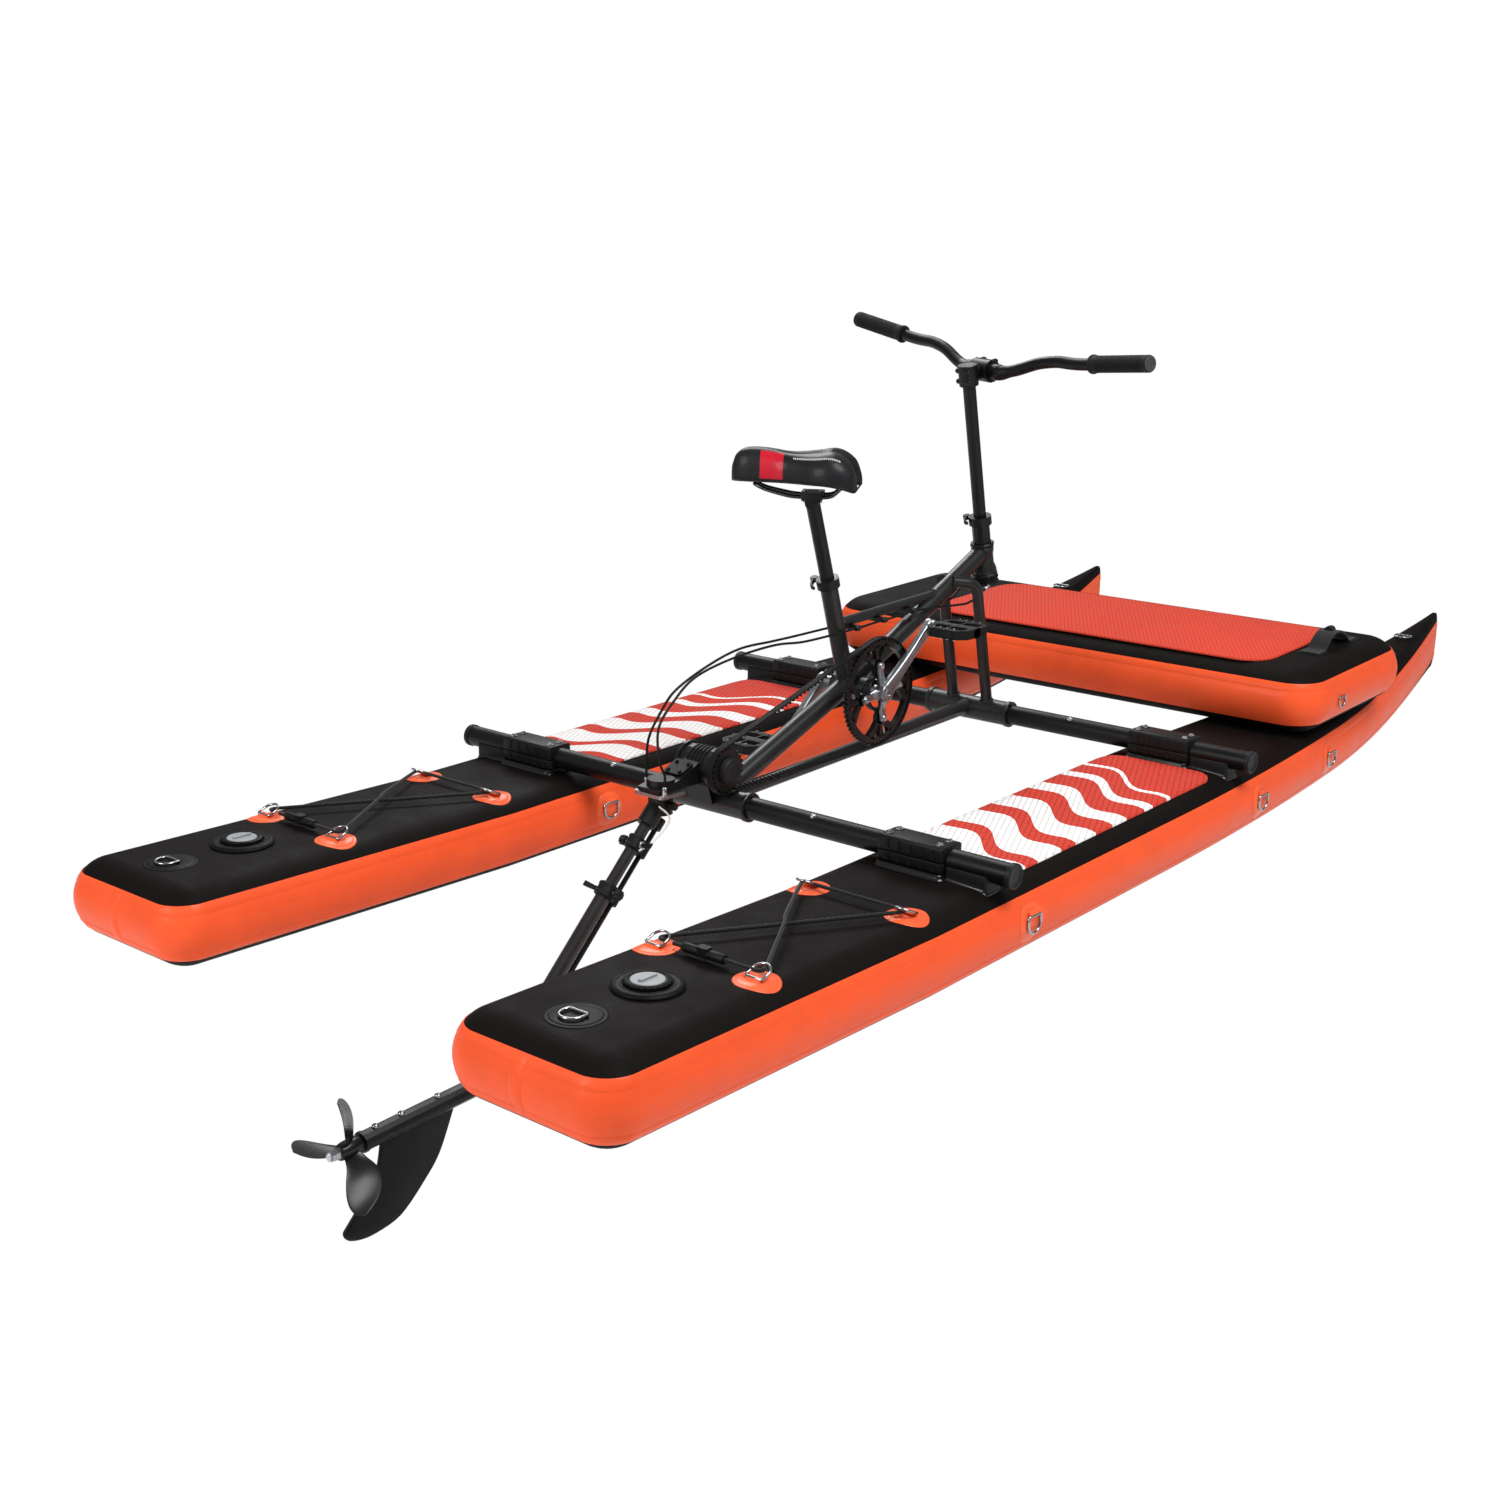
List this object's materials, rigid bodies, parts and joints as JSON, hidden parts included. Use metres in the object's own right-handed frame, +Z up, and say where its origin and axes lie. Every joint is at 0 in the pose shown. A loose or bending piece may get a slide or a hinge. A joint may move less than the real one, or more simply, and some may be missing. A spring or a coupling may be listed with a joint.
{
  "type": "pontoon water bike",
  "caption": "Pedal-driven water bike: a bicycle frame on crossbars over inflatable hulls, with a belt drive, a gearbox and a steerable propeller leg",
  "frame": {"origin": "midway between the hulls, at the sterns' rear face, level with the hulls' undersides", "axes": "+X towards the bows, +Y to port, +Z up"},
  "size_m": [2.92, 1.2386, 1.2962],
  "materials": {
    "hull_vinyl": "printed drop-stitch vinyl, satin",
    "float_vinyl": "drop-stitch vinyl, satin",
    "valve_plastic": "moulded, satin",
    "bungee": "covered elastic cord",
    "deck_foam": "embossed foam, matt",
    "float_foam": "embossed foam, matt",
    "webbing": "woven strap, matt",
    "bracket_paint": "powder coat, satin",
    "bar_paint": "powder coat, satin",
    "frame_paint": "powder coat, satin",
    "black_alloy": "anodised, satin",
    "forged_alloy": "polished",
    "steel": "bright",
    "saddle_cover": "grained cover, satin",
    "grip_rubber": "moulded, matt",
    "belt_rubber": "moulded, matt",
    "black_plastic": "moulded, satin",
    "cable_sleeve": "extruded sleeve, satin",
    "white_cord": "braided"
  },
  "bodies": {
    "hull_and_frame": {"starboard_pontoon": "hull_vinyl", "port_pontoon": "hull_vinyl", "starboard_valve": "valve_plastic", "port_valve": "valve_plastic", "starboard_lashing": "bungee", "port_lashing": "bungee", "starboard_deck_pad": "deck_foam", "port_deck_pad": "deck_foam", "starboard_rear_bracket": "bracket_paint", "port_rear_bracket": "bracket_paint", "starboard_front_bracket": "bracket_paint", "port_front_bracket": "bracket_paint", "cross_float": "float_vinyl", "float_pad": "float_foam", "float_handle": "webbing", "rear_crossbar": "bar_paint", "front_crossbar": "bar_paint", "bike_frame": "frame_paint", "upper_headset_cup": "black_alloy", "lower_headset_cup": "black_alloy", "seat_collar": "black_alloy", "starboard_bearing_cup": "black_alloy", "port_bearing_cup": "black_alloy", "drive_belt": "belt_rubber", "gearbox_housing": "black_alloy", "gearbox_cover": "black_plastic", "starboard_steering_cable": "cable_sleeve", "port_steering_cable": "cable_sleeve"},
    "steerer": {"steerer": "black_alloy", "cable_drum": "black_plastic", "riser_collar": "black_alloy"},
    "riser": {"riser": "black_alloy", "stem": "black_alloy", "handlebar": "black_alloy", "starboard_grip": "grip_rubber", "port_grip": "grip_rubber"},
    "riser_lever": {"riser_collar_lever": "black_alloy"},
    "seat": {"seatpost": "black_alloy", "saddle_clamp": "forged_alloy", "saddle_rails": "steel", "saddle": "saddle_cover"},
    "seat_lever": {"seat_collar_lever": "black_alloy"},
    "crankset": {"starboard_crank": "forged_alloy", "port_crank": "forged_alloy", "belt_ring": "black_alloy"},
    "starboard_pedal": {"starboard_pedal": "black_plastic"},
    "port_pedal": {"port_pedal": "black_plastic"},
    "pulley": {"belt_pulley": "black_alloy"},
    "leg": {"steering_plate": "forged_alloy", "leg_head": "black_alloy", "upper_leg_tube": "frame_paint", "guide_rod": "black_alloy", "upper_leg_clamp": "black_plastic", "leg_cord": "white_cord"},
    "lower_leg": {"lower_leg_tube": "frame_paint", "lower_leg_clamp": "black_plastic", "gearcase": "black_alloy", "fin": "black_plastic"},
    "propeller": {"propeller_shaft": "steel", "propeller": "black_plastic"}
  },
  "joints": [
    {"name": "steering", "type": "hinge", "parent": "hull_and_frame", "child": "steerer", "pos_m": [1.678, 0, 0.481], "axis": [-0.2215, 0, 0.9751], "range_deg": [-46.6, 73.4]},
    {"name": "riser_height", "type": "slide", "parent": "steerer", "child": "riser", "axis": [-0.2215, 0, 0.9751], "range_m": [-0.05, 0.03]},
    {"name": "riser_clamp_lever", "type": "hinge", "parent": "steerer", "child": "riser_lever", "pos_m": [1.66661, 0.03571, 0.56158], "axis": [-0.2215, 0, 0.9751], "range_deg": [-150, 0]},
    {"name": "seat_height", "type": "slide", "parent": "hull_and_frame", "child": "seat", "axis": [-0.319, 0, 0.9478], "range_m": [-0.06, 0.04]},
    {"name": "seat_clamp_lever", "type": "hinge", "parent": "hull_and_frame", "child": "seat_lever", "pos_m": [1.18556, 0.03481, 0.49758], "axis": [-0.319, 0, 0.9478], "range_deg": [-150, 0]},
    {"name": "crank", "type": "hinge", "parent": "hull_and_frame", "child": "crankset", "pos_m": [1.267, 0, 0.291], "axis": [0, 1, 0], "continuous": true},
    {"name": "starboard_pedal_spin", "type": "hinge", "parent": "crankset", "child": "starboard_pedal", "pos_m": [1.39949, -0.1325, 0.39752], "axis": [0, 1, 0], "continuous": true},
    {"name": "port_pedal_spin", "type": "hinge", "parent": "crankset", "child": "port_pedal", "pos_m": [1.13451, 0.1325, 0.18448], "axis": [0, 1, 0], "continuous": true},
    {"name": "pulley_spin", "type": "hinge", "parent": "hull_and_frame", "child": "pulley", "pos_m": [0.846, 0, 0.228], "axis": [0, 1, 0], "continuous": true},
    {"name": "leg_swivel", "type": "hinge", "parent": "hull_and_frame", "child": "leg", "pos_m": [0.745, 0, 0.2], "axis": [0, 0, 1], "range_deg": [-73.4, 46.6]},
    {"name": "leg_length", "type": "slide", "parent": "leg", "child": "lower_leg", "axis": [-0.7108, 0, -0.7034], "range_m": [-0.06, 0.04]},
    {"name": "propeller_spin", "type": "hinge", "parent": "lower_leg", "child": "propeller", "pos_m": [0.1025, 0, -0.19812], "axis": [0.9984, 0, 0.0558], "continuous": true}
  ],
  "couplings": [
    {"joint": "pulley_spin", "follows": "crank", "ratio": 2.5},
    {"joint": "leg_swivel", "follows": "steering", "ratio": -1},
    {"joint": "propeller_spin", "follows": "crank", "ratio": 7.5}
  ]
}
